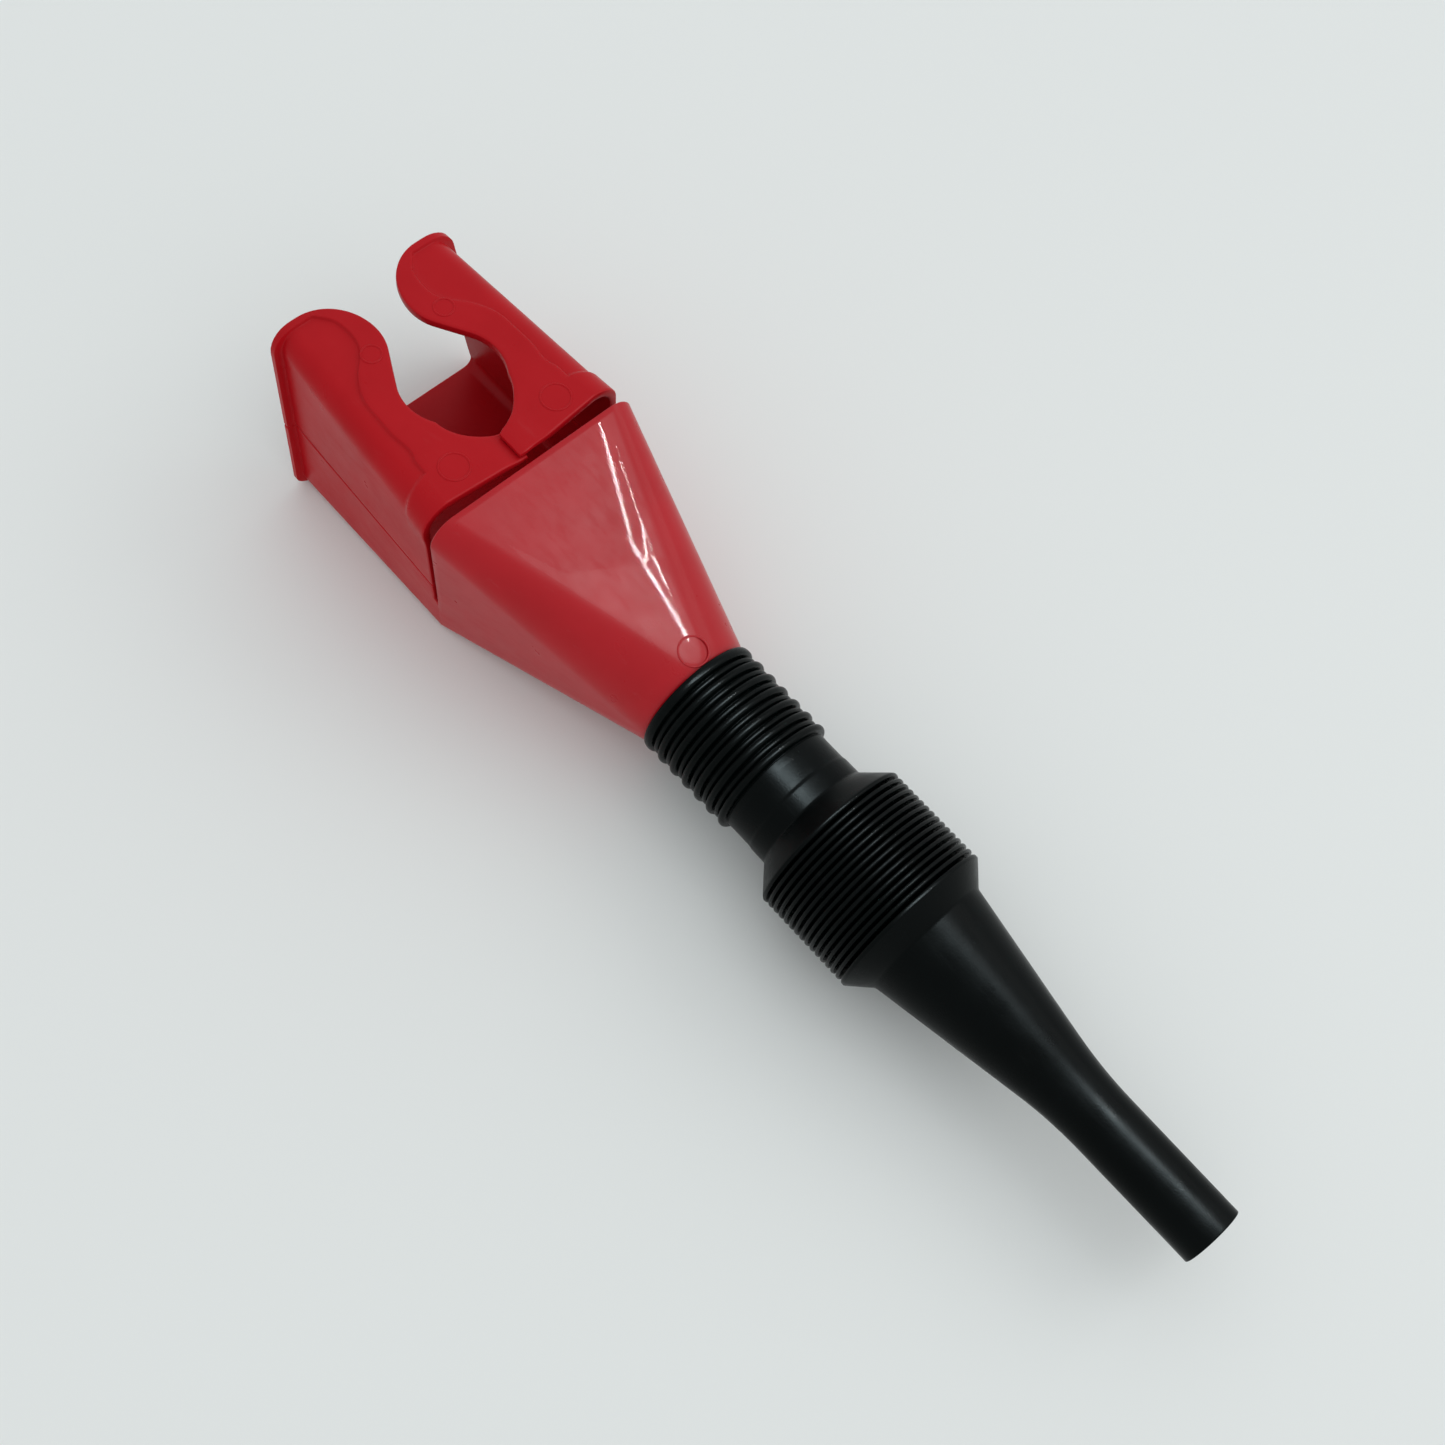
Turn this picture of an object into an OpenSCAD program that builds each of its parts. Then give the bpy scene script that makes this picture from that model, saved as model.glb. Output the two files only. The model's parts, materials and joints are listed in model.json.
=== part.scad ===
// Bottle-clip funnel: a moulded clip and hopper with a flexible, extending bellows spout.
// +X runs from the open clip end to the nozzle tip, +Z is up through the jaws,
// and the origin is under the middle of the part. Millimetres.

/* [Clip] */
// Outside width of the clip and of the hopper's mouth at the foot
clip_w = 66.8; // [58:0.2:76]
// Outside height of the clip and of the hopper's mouth
clip_h = 58.5; // [52:0.5:64]
// Length from the top of the open end to the hopper's mouth
clip_l = 75; // [70:0.5:84]
// How far the top of the open end stands beyond its foot
end_rake = 10; // [2:0.5:14]
// Height of the hinge crease on both side walls
crease_z = 25.5; // [22:0.5:30]
// How far the side walls lean in at the top of the open end
lean_far = 5; // [3:0.2:7]
// How far the side walls spread out at the top beside the hopper
spread_root = 2.2; // [0:0.2:3]
// Moulded wall thickness of the clip and hopper
wall = 2; // [1.6:0.1:2.6]
// Radius of the clip's top edges
top_r = 6; // [4:0.5:8]
// Radius of the clip's bottom edges
base_r = 4; // [3:0.5:6]
// How far the rim round the open end stands proud
rim_out = 2.4; // [1:0.1:3]
// Width of that rim
rim_w = 3; // [2:0.1:4]

/* [Bottle neck cut-out] */
// Diameter of the cut-out that grips a bottle's neck
grip_d = 30.4; // [28:0.1:31]
// Distance of its centre from the top of the open end
grip_x = 41.4; // [39:0.1:44]
// Narrowest gap between the two horns
throat_w = 10.8; // [8:0.2:14]
// Distance of that gap from the top of the open end
throat_x = 16.6; // [14:0.1:18]
// Radius of the rounded horns
horn_r = 15; // [12:0.5:18]
// Length of the cut-out's tail towards the hopper
tail_l = 13.1; // [10:0.1:15]
// Height of the band that stiffens the cut-out's edge
band_h = 1; // [0.6:0.1:1.4]
// Width of that band
band_w = 8; // [6:0.5:9]
// Gap between the jaws' plates and the hopper's mouth at the corners
slit_w = 4.2; // [3:0.2:6]
// The same gap in the middle and at the creases
slit_mid = 1.4; // [1.2:0.1:2.4]

/* [Hopper] */
// Length of the hopper from its mouth to the spout's collar
hopper_l = 70; // [60:0.5:80]
// Diameter of the hopper's small end
outlet_d = 36.4; // [35:0.1:37.4]
// Outside diameter of the spigot that the spout is pushed on to
spigot_d = 32.6; // [31:0.1:33]

/* [Flexible neck] */
// Diameter over the neck's ridges
ridge_d = 38.6; // [37:0.1:40]
// Distance from one ridge to the next
ridge_pitch = 4.88; // [4.8:0.02:5.4]
// Width of one ridge
ridge_w = 1.9; // [1.4:0.1:1.9]
// Inside diameter of the neck
neck_bore = 31.8; // [30:0.1:32.6]

/* [Sleeve] */
// Outside diameter of the plain sleeve
sleeve_d = 34.8; // [34:0.1:36]
// Length of the plain sleeve
sleeve_l = 12.5; // [10:0.5:20]
// Length of the cone between the sleeve and the bellows
flare_l = 6.5; // [5:0.5:9]

/* [Bellows] */
// Diameter over the pleats
bellows_d = 49.2; // [46:0.1:52]
// Distance between closed pleats
pleat_pitch = 2.01; // [1.9:0.01:2.4]
// Thickness of one closed pleat
pleat_w = 1.55; // [1.2:0.05:1.6]
// Inside diameter of the pleats
pleat_bore = 34.4; // [33:0.1:36]

/* [Nozzle] */
// Length of the short cone behind the end flange
chamfer_l = 6.1; // [5:0.1:8]
// Largest diameter of the nozzle's long cone
cone_d = 37.6; // [36:0.1:39]
// Length of the nozzle's long cone
cone_l = 55.1; // [45:0.1:65]
// Outside diameter of the nozzle's tube
tube_d = 18.4; // [17:0.1:20]
// Length of the nozzle's tube
tube_l = 47.8; // [40:0.1:60]
// Inside diameter of the nozzle's tube
outlet_bore = 15.6; // [14:0.1:16]

/* [Hidden] */
NECK_RINGS = 5;
PLEATS = 14;

round_fn = 96;
hull_fn = 32;
sliver = 0.02;
over = 1;
spout_wall = 1.3;
flange_w = 1.4;
lip_offset = 2;
sleeve_gap = 4;
first_pleat = 1.37;
hinge_gap = 0.25;
hinge_lift = 0.6;
slot_foot_z = 16.5;
slot_w = 2;
mouth_r = 8;
root_band_x = 61;
tongue_lap = 1.8;
tongue_gap = 0.25;
step_y = 3;
spigot_l = 7;
bead_r = 0.5;
red = [0.70, 0.08, 0.11];
black = [0.05, 0.055, 0.06];

// Stations along X
ridge_run = (NECK_RINGS + 1) * ridge_pitch;
pleat_run = (PLEATS - 1) * pleat_pitch;
total_l = clip_l + hopper_l + lip_offset + ridge_run + sleeve_gap + sleeve_l + flare_l
    + 2 * flange_w + 2 * first_pleat + pleat_run + chamfer_l + cone_l + tube_l;
far_x = -total_l / 2;
mouth_x = far_x + clip_l;
outlet_x = mouth_x + hopper_l;
lip_x = outlet_x + lip_offset;
sleeve_x = lip_x + ridge_run + sleeve_gap;
flare_x = sleeve_x + sleeve_l;
flange_x = flare_x + flare_l;
pleat_x = flange_x + flange_w + first_pleat;
end_flange_x = pleat_x + pleat_run + first_pleat;
chamfer_x = end_flange_x + flange_w;
cone_x = chamfer_x + chamfer_l;
tube_x = cone_x + cone_l;
tip_x = tube_x + tube_l;

// The spout's axis lies one bellows radius above the table
axis_z = bellows_d / 2;
half_w = clip_w / 2;
grip_cx = far_x + grip_x;
grip_r = grip_d / 2;
throat_cx = far_x + throat_x;
horn_cy = throat_w / 2 + horn_r;
jaw_end_x = mouth_x - slit_mid;
plate_end_x = mouth_x - slit_w;
rake_angle = atan(end_rake / clip_h);

// The tail of the cut-out leaves the round grip at this angle
TAIL_FROM = 56;
tail_x = grip_cx + grip_r * cos(TAIL_FROM);

// The crease lines run outwards a little from the open end to the hopper
crease_far_y = half_w - lean_far * crease_z / clip_h - wall / 2;
crease_turn = atan((lean_far + spread_root) * crease_z / clip_h / clip_l);

// Angle at which the straight edge between a horn and the round grip touches both
throat_run = grip_cx - throat_cx;
touch = -atan(horn_cy / throat_run) - acos((grip_r + horn_r) / norm([throat_run, horn_cy]));

function arc(cx, cy, r, a0, a1, n) =
    [for (i = [0 : n]) let (a = a0 + (a1 - a0) * i / n) [cx + r * cos(a), cy + r * sin(a)]];

// Turns a profile of [x, radius] points into a solid round the spout's axis
module turned(profile) {
    translate([0, 0, axis_z])
        rotate([90, 0, 90])
            rotate_extrude($fn = round_fn)
                polygon([for (p = profile) [p[1], p[0]]]);
}

// A round-edged ring about the spout's axis
module ridge(x, outer_r, inner_r, w) {
    translate([x, 0, axis_z])
        rotate([90, 0, 90])
            rotate_extrude($fn = round_fn)
                union() {
                    translate([outer_r - w / 2, 0]) circle(d = w, $fn = 24);
                    translate([inner_r, -w / 2]) square([outer_r - inner_r - w / 2, w]);
                }
}

// Extrudes a [y, z] outline from x0 to x1
module along_x(x0, x1) {
    translate([x0, 0, 0]) rotate([90, 0, 90]) linear_extrude(x1 - x0) children();
}

// Everything in front of the slanted face of the open end, pushed in by a depth
module raked_space(depth) {
    translate([far_x + end_rake + depth, 0, 0])
        rotate([0, -rake_angle, 0])
            translate([0, -2 * clip_w, -clip_h]) cube([3 * clip_l, 4 * clip_w, 4 * clip_h]);
}

// How far the side walls lean in at x, from foot to top
function lean_at(x) = lean_far - (lean_far + spread_root) * (x - far_x) / clip_l;

// The clip's outline at x as [y, z] points, moved in by an inset; r is the radius of the top edges
function section(x, inset, r) =
    let (
        foot = half_w - base_r,
        top_z = clip_h - r,
        top = half_w - lean_at(x) * top_z / clip_h - r
    )
    concat(
        arc(foot, base_r, base_r - inset, -90, 0, 8),
        arc(top, top_z, r - inset, 0, 90, 10),
        arc(-top, top_z, r - inset, 90, 180, 10),
        arc(-foot, base_r, base_r - inset, 180, 270, 8)
    );

// The clip as a solid block from x0 to x1
module clip_block(inset, x0, x1) {
    hull() {
        along_x(x0, x0 + sliver) polygon(section(x0, inset, top_r));
        along_x(x1 - sliver, x1) polygon(section(x1, inset, top_r));
    }
}

module between(z0, z1) {
    translate([far_x - clip_l, -clip_w, z0]) cube([3 * clip_l, 2 * clip_w, z1 - z0]);
}

// The rim of the open end, up to a height
module base_rim(top) {
    difference() {
        intersection() {
            along_x(far_x, far_x + end_rake + rim_w + over) polygon(section(far_x, -rim_out, top_r));
            raked_space(0);
            between(0, top);
        }
        raked_space(rim_w);
    }
}

// Back wall and fixed lower side walls, with the rim of the open end
module clip_base() {
    top = crease_z - wall / 2 - hinge_gap;
    color(red)
    difference() {
        union() {
            intersection() {
                clip_block(0, far_x, mouth_x);
                raked_space(0);
                between(0, top);
            }
            base_rim(top);
        }
        clip_block(wall, far_x - over, mouth_x + over);
        // The slit runs on down the side walls past the crease
        translate([mouth_x - slot_w, -clip_w, slot_foot_z]) cube([slot_w + over, 2 * clip_w, clip_h]);
    }
}

// The hopper's mouth as a slab
module mouth_slab(inset) {
    along_x(mouth_x, mouth_x + sliver) polygon(section(mouth_x, inset, mouth_r));
}

module outlet_slab(r) {
    translate([0, 0, axis_z]) rotate([0, 90, 0]) cylinder(r = r, h = sliver, $fn = 2 * hull_fn);
}

// Funnel from the rectangular mouth to the round outlet, with the spigot for the spout
module hopper() {
    color(red)
    difference() {
        union() {
            hull() {
                mouth_slab(0);
                translate([outlet_x - sliver, 0, 0]) outlet_slab(outlet_d / 2);
            }
            translate([outlet_x - over, 0, axis_z]) rotate([0, 90, 0])
                cylinder(d = spigot_d, h = spigot_l + over, $fn = round_fn);
            translate([lip_x, 0, axis_z]) rotate([90, 0, 90])
                rotate_extrude($fn = round_fn)
                    translate([spigot_d / 2 - bead_r / 2, 0]) circle(bead_r, $fn = 24);
        }
        hull() {
            translate([-sliver, 0, 0]) mouth_slab(wall);
            translate([outlet_x - sliver, 0, 0]) outlet_slab(spigot_d / 2 - wall + 0.2);
        }
        translate([outlet_x - over, 0, axis_z]) rotate([0, 90, 0])
            cylinder(d = spigot_d - 2 * wall + 0.4, h = spigot_l + 3 * over, $fn = round_fn);
    }
}

// The opening for the bottle: round grip, throat between the horns, tail towards the hopper
module neck_opening() {
    horn_end = 188;
    bow = 1.29;
    translate([0, 0, crease_z]) {
        translate([grip_cx, 0, 0]) cylinder(r = grip_r, h = clip_h, $fn = round_fn);
        linear_extrude(clip_h)
            polygon(concat(
                [[grip_cx, 0]],
                [for (a = [-90 : 7.5 : 90]) [
                    tail_x + tail_l * pow(cos(a), bow),
                    grip_r * sin(TAIL_FROM) * sign(a) * pow(abs(sin(a)), bow)
                ]]
            ));
        linear_extrude(clip_h)
            polygon(concat(
                [[far_x - over, horn_cy + horn_r * sin(horn_end)]],
                arc(throat_cx, horn_cy, horn_r, horn_end, 360 + touch, 16),
                [[grip_cx - grip_r * cos(touch), -grip_r * sin(touch)]],
                [[grip_cx - grip_r * cos(touch), grip_r * sin(touch)]],
                arc(throat_cx, -horn_cy, horn_r, -touch, 360 - horn_end, 16),
                [[far_x - over, -horn_cy - horn_r * sin(horn_end)]]
            ));
    }
}

// The stiffening band: the opening's outline grown by the band's width
module band_area() {
    horn = horn_r - band_w + 1;
    flat = half_w - lean_at(plate_end_x) - top_r;
    translate([0, 0, clip_h - over])
    linear_extrude(over + band_h)
    difference() {
        union() {
            translate([grip_cx, 0]) circle(r = grip_r + band_w, $fn = round_fn);
            translate([grip_cx, 0]) square([jaw_end_x - grip_cx, grip_r + band_w]);
            translate([far_x + root_band_x, 0]) square([jaw_end_x - far_x - root_band_x, flat]);
            translate([far_x, 0]) square([grip_x, horn_cy - horn]);
        }
        translate([throat_cx - 1, horn_cy + 1]) circle(r = horn, $fn = round_fn);
    }
}

// What is cut off a jaw towards the hopper: the gap widens from the middle and the crease to the corner
module front_gap() {
    corner_y = half_w - lean_at(plate_end_x) - top_r - 1;
    corner_z = clip_h - top_r + 1;
    translate([0, 0, corner_z])
        linear_extrude(clip_h)
            polygon([
                [jaw_end_x, -clip_w],
                [mouth_x, -clip_w],
                [mouth_x, corner_y],
                [plate_end_x, corner_y],
                [jaw_end_x, 0]
            ]);
    translate([0, corner_y + clip_w, 0])
        rotate([90, 0, 0])
            linear_extrude(clip_w)
                polygon([
                    [jaw_end_x, crease_z + wall / 2],
                    [plate_end_x, corner_z],
                    [plate_end_x, 2 * clip_h],
                    [mouth_x, 2 * clip_h],
                    [mouth_x, crease_z + wall / 2]
                ]);
}

// The rim of the open end on the +Y jaw; it starts a little above the crease, clear of the fixed rim
module jaw_rim() {
    top_z = clip_h - top_r;
    top_y = half_w - lean_far * top_z / clip_h - top_r;
    foot_z = crease_z + hinge_lift;
    rim_top = clip_h + band_h;
    difference() {
        along_x(far_x, far_x + end_rake)
            polygon(concat(
                [[0, foot_z], [half_w - lean_far * foot_z / clip_h + rim_out, foot_z]],
                [for (p = arc(top_y, top_z, top_r + rim_out, 4, 60, 6)) [p[0], min(p[1], rim_top)]],
                [[top_y, rim_top], [0, rim_top]]
            ));
        raked_space(rim_w);
    }
}

// One jaw on the +Y side; reach is where its tongue ends, raised lifts the tongue's end
module jaw(reach, raised) {
    difference() {
        union() {
            difference() {
                intersection() {
                    union() {
                        clip_block(0, far_x, jaw_end_x);
                        band_area();
                        jaw_rim();
                    }
                    raked_space(0);
                    between(crease_z, 2 * clip_h);
                }
                clip_block(wall, far_x - over, jaw_end_x + over);
                // Half only, with the tongue as far as it reaches
                translate([far_x - over, -clip_w, 0]) cube([clip_l + 2 * over, clip_w + reach, 2 * clip_h]);
                // The other jaw's tongue lies on this plate, so the band stops beside it
                if (raised == 0)
                    translate([grip_cx, -clip_w, clip_h])
                        cube([clip_l, clip_w + tongue_lap + tongue_gap, clip_h]);
            }
            if (raised > 0) {
                translate([tail_x, -tongue_lap, clip_h + tongue_gap])
                    cube([jaw_end_x - tail_x, step_y + tongue_lap + 1, wall]);
                translate([tail_x, step_y, clip_h - wall])
                    cube([jaw_end_x - tail_x, wall, wall + tongue_gap + 0.5]);
            }
            // Round lower edge that turns in the crease
            translate([far_x, crease_far_y, crease_z]) rotate([0, 90, crease_turn])
                translate([0, 0, end_rake]) cylinder(d = wall, h = clip_l - slit_mid - end_rake, $fn = 32);
        }
        neck_opening();
        front_gap();
    }
}

module left_jaw() {
    color(red) mirror([0, 1, 0]) jaw(0.3, 0);
}

module right_jaw() {
    color(red) jaw(step_y, 1);
}

// End cuff of the spout, pushed over the hopper's spigot
module spout_collar() {
    cuff_bore = spigot_d / 2 + 0.1;
    cuff_r = ridge_d / 2 - 1.6;
    color(black)
    difference() {
        union() {
            turned([
                [outlet_x + 0.1, cuff_bore],
                [outlet_x + 0.1, cuff_r],
                [lip_x + ridge_pitch + ridge_w / 2, cuff_r],
                [lip_x + ridge_pitch + ridge_w / 2, cuff_bore]
            ]);
            ridge(lip_x, ridge_d / 2, cuff_r - 0.5, ridge_w + 0.6);
            ridge(lip_x + ridge_pitch, ridge_d / 2, cuff_r - 0.5, ridge_w);
        }
        translate([lip_x, 0, axis_z]) rotate([90, 0, 90])
            rotate_extrude($fn = round_fn)
                translate([spigot_d / 2 - bead_r / 2, 0]) circle(bead_r + 0.1, $fn = 24);
    }
}

// Ring i of the flexible neck
module neck_ring(i) {
    color(black) ridge(lip_x + (i + 1) * ridge_pitch, ridge_d / 2, neck_bore / 2, ridge_w);
}

// Plain sleeve that widens into the first flange of the bellows
module sleeve() {
    r = sleeve_d / 2;
    big = bellows_d / 2;
    color(black)
    turned([
        [sleeve_x, r - spout_wall],
        [sleeve_x, r],
        [sleeve_x + 0.45 * sleeve_l, r],
        [sleeve_x + 0.55 * sleeve_l, r + 0.3],
        [flare_x, r + 0.3],
        [flange_x, big - 0.4],
        [flange_x + 0.4, big],
        [flange_x + flange_w - 0.4, big],
        [flange_x + flange_w, big - 0.4],
        [flange_x + flange_w, pleat_bore / 2],
        [flange_x, pleat_bore / 2],
        [flare_x, r + 0.3 - spout_wall]
    ]);
}

// Pleat i of the bellows
module pleat(i) {
    color(black) ridge(pleat_x + (i - 1) * pleat_pitch, bellows_d / 2, pleat_bore / 2, pleat_w);
}

// End flange, cones and pouring tube
module nozzle() {
    big = bellows_d / 2;
    color(black)
    turned([
        [end_flange_x, pleat_bore / 2],
        [end_flange_x, big - 0.4],
        [end_flange_x + 0.4, big],
        [chamfer_x - 0.3, big],
        [chamfer_x, big - 0.3],
        [cone_x, cone_d / 2],
        [tube_x, tube_d / 2],
        [tip_x, tube_d / 2],
        [tip_x, outlet_bore / 2],
        [tube_x, outlet_bore / 2],
        [cone_x, cone_d / 2 - spout_wall - 0.3],
        [chamfer_x, pleat_bore / 2]
    ]);
}

clip_base();
hopper();
left_jaw();
right_jaw();
spout_collar();
for (i = [1 : NECK_RINGS]) neck_ring(i);
sleeve();
for (i = [1 : PLEATS]) pleat(i);
nozzle();
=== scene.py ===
import json
import math

import bpy
import numpy as np
from mathutils import Matrix, Vector


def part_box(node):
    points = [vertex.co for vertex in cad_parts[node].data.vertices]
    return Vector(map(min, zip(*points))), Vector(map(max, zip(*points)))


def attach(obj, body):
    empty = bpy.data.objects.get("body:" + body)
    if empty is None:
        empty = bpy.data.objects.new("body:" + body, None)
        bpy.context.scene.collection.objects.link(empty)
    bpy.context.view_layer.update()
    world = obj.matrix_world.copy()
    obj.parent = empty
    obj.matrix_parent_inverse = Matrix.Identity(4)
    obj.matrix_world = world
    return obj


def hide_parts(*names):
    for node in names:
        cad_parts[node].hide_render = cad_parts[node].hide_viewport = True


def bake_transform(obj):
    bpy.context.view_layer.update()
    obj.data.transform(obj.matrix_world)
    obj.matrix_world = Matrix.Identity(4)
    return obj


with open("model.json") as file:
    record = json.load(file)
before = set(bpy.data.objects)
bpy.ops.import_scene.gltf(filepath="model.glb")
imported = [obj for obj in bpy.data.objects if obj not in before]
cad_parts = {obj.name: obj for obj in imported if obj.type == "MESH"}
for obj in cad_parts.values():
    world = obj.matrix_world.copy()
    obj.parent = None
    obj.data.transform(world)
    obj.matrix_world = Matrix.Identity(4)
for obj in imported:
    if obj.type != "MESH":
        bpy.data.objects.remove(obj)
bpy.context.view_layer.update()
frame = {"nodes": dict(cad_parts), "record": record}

MM = 0.001

# ---------------------------------------------------------------- stations from the frame

mounts = {m["name"]: m for m in frame["record"]["mounts"]}


def numbered(prefix):
    """The frame's nodes with this prefix, in the order of their numbers."""
    return sorted((n for n in frame["nodes"] if n.startswith(prefix)), key=lambda n: int(n.split("_")[-1]))


def mid(node, k):
    lo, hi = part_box(node)
    return (lo[k] + hi[k]) / 2 / MM


def low(node, k):
    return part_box(node)[0][k] / MM


def high(node, k):
    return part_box(node)[1][k] / MM


NECK_RINGS = numbered("neck_ring_")
PLEATS = numbered("pleat_")
FAR_X = low("right_jaw", 0)
MOUTH_X = low("hopper", 0)
OUTLET_X = low("spout_collar", 0) - 0.1
LIP_X = high("spout_collar", 0) - 0.95
TIP_X = high("nozzle", 0)
AXIS_Z = mid("nozzle", 2)
CLIP_H = high("hopper", 2)
NECK_R = high(NECK_RINGS[0], 1)
BELLOWS_R = high("nozzle", 1)
GRIP_X = mounts["bottle_neck"]["pos_m"][0] / MM
GRIP_R = mounts["bottle_neck"]["dims"]["r_mm"]
TUBE_R = mounts["nozzle_tip"]["dims"]["r_mm"]
BORE_R = mounts["outlet"]["dims"]["r_mm"]
TUBE_L = mounts["nozzle_tip"]["dims"]["length_mm"]
joints = {j["name"]: j for j in frame["record"]["behaviour"]["joints"]}
CREASE_Z = joints["right_jaw_fold"]["pos_m"][2] / MM

# Sizes of the red head, in millimetres
WALL = 2.0
BAND_H, BAND_SIDE_H = 0.85, 0.75  # the side's is a share of the top's
END_RAKE = 10.0
LEAN_FAR, SPREAD_ROOT = 5.0, 2.2
TOP_R, BASE_R, MOUTH_R = 6.0, 4.0, 8.0
RIM_OUT, RIM_W = 2.4, 2.6
HALF_W = high("clip_base", 1) - RIM_OUT
EDGE = 0.45  # how far a wall's rounded edge stands past its last row
THROAT_X = FAR_X + 16.6
HORN_R = 15.0
HORN_Y = {1: 5.2 + HORN_R, -1: 6.0 + HORN_R}
HINGE_HALF = 1.6
SLOT_FOOT = 16.5
SQUEEZE_FROM = MOUTH_X - 14
RAKE_SPAN = MOUTH_X - 16 - FAR_X
JAW_END = MOUTH_X - 1.4
# Each jaw's gap to the hopper: in the middle, at the corner and at the crease
SLIT = {1: (2.2, 4.6, 1.6), -1: (1.5, 3.4, 1.5)}
LAP = 1.8
OUTLET_R = 18.2
SPIGOT_R, SPIGOT_L, SPIGOT_ROOT, SPIGOT_WALL = 16.3, 7, 3, 1.8

# Sizes of the black spout, in millimetres
PITCH = mid(NECK_RINGS[1], 0) - mid(NECK_RINGS[0], 0)
SPOUT_WALL = 1.2
CUFF_IN = 16.4
NECK_IN = NECK_R - 3.05
RIDGE_HALF = 1.12
GROOVE_DEPTH = 2.0
LOW_RIDGE_DROP = 0.8
SLEEVE_R = 17.4
FLANGE_L, FLARE_L = 1.4, 6.5
PLEAT_HALF = 0.62
PLEAT_ROOT_R = 17.5
CONE_START, CONE_R = 6.1, 18.9

# Mesh detail
ROUND = 160
EDGE_ROWS = 5
CREST_STEPS, PLEAT_STEPS = 8, 6

# ---------------------------------------------------------------- small maths


def smooth(a, b, x):
    t = min(1.0, max(0.0, (x - a) / (b - a)))
    return t * t * (3 - 2 * t)


def lerp(a, b, t):
    return a + (b - a) * t


def rounded(points, cuts, steps=6):
    """A polyline with its inner corners rounded: cuts gives how far back each corner starts."""
    out = [points[0]]
    for k in range(1, len(points) - 1):
        p, a, b = np.array(points[k], float), np.array(points[k - 1], float), np.array(points[k + 1], float)
        c = min(cuts[k], np.linalg.norm(a - p) * 0.49, np.linalg.norm(b - p) * 0.49)
        if c <= 0:
            out.append(tuple(p))
            continue
        s, e = p + (a - p) / np.linalg.norm(a - p) * c, p + (b - p) / np.linalg.norm(b - p) * c
        for t in np.linspace(0, 1, steps + 1):
            out.append(tuple((1 - t) ** 2 * s + 2 * t * (1 - t) * p + t * t * e))
    out.append(points[-1])
    return out


# ---------------------------------------------------------------- mesh builders


def finish_mesh(name, verts, faces, material, sharp=40.0):
    mesh = bpy.data.meshes.new(name)
    mesh.from_pydata([tuple(c * MM for c in v) for v in verts], [], faces)
    mesh.validate()
    mesh.update()
    mesh.polygons.foreach_set("use_smooth", [True] * len(mesh.polygons))
    mesh.set_sharp_from_angle(angle=math.radians(sharp))
    obj = bpy.data.objects.new(name, mesh)
    bpy.context.scene.collection.objects.link(obj)
    mesh.materials.append(material)
    return obj


def thick_patch(name, outer, inner, material, seam, closed=False):
    """A wall between two grids of points. Its border is rounded, except where seam(a, b) is true."""
    nu, nv = len(outer), len(outer[0])
    span = nv if closed else nv - 1
    verts, index = [], {}

    def vertex(layer, i, j):
        key = (layer, i, j % nv if closed else j)
        if key not in index:
            index[key] = len(verts)
            verts.append(np.array((outer if layer else inner)[key[1]][key[2]], float))
        return index[key]

    faces, edges = [], {}
    for i, j in ((i, j) for i in range(nu - 1) for j in range(span)):
        ring = [(i, j), (i + 1, j), (i + 1, j + 1), (i, j + 1)]
        ring = [(a, b % nv if closed else b) for a, b in ring]
        faces.append([vertex(1, a, b) for a, b in ring])
        faces.append([vertex(0, a, b) for a, b in reversed(ring)])
        for a, b in zip(ring, ring[1:] + ring[:1]):
            edges.setdefault(frozenset((a, b)), []).append((a, b, ring))
    border = [e[0] for e in edges.values() if len(e) == 1]
    push = {}
    for a, b, ring in border:
        free = not seam(a, b)
        pa, pb = verts[vertex(1, *a)], verts[vertex(1, *b)]
        centre = sum(verts[vertex(1, *r)] for r in ring) / 4
        along = (pb - pa) / max(np.linalg.norm(pb - pa), 1e-9)
        away = (pa + pb) / 2 - centre
        away = away - along * (away @ along)
        thick = verts[vertex(1, *a)] - verts[vertex(0, *a)]
        thick = thick / max(np.linalg.norm(thick), 1e-9)
        away = away - thick * (away @ thick)
        away = away / max(np.linalg.norm(away), 1e-9)
        for p in (a, b):
            push.setdefault(p, [np.zeros(3), 0])
            if free:
                push[p][0] = push[p][0] + away
                push[p][1] += 1
    chains = {}
    for p, (total, count) in push.items():
        t = total / np.linalg.norm(total) if count and np.linalg.norm(total) > 1e-6 else np.zeros(3)
        po, pi = verts[vertex(1, *p)], verts[vertex(0, *p)]
        centre, half = (po + pi) / 2, (po - pi) / 2
        chain = [vertex(1, *p)]
        for k in range(1, EDGE_ROWS):
            a = math.pi * k / EDGE_ROWS
            c, s = math.cos(a), math.sin(a)
            c = math.copysign(abs(c) ** 0.75, c)
            verts.append(centre + half * c + t * EDGE * s ** 0.75)
            chain.append(len(verts) - 1)
        chain.append(vertex(0, *p))
        chains[p] = chain
    for a, b, ring in border:
        ca, cb = chains[a], chains[b]
        for k in range(EDGE_ROWS):
            faces.append([cb[k], ca[k], ca[k + 1], cb[k + 1]])
    return finish_mesh(name, verts, faces, material)


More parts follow.
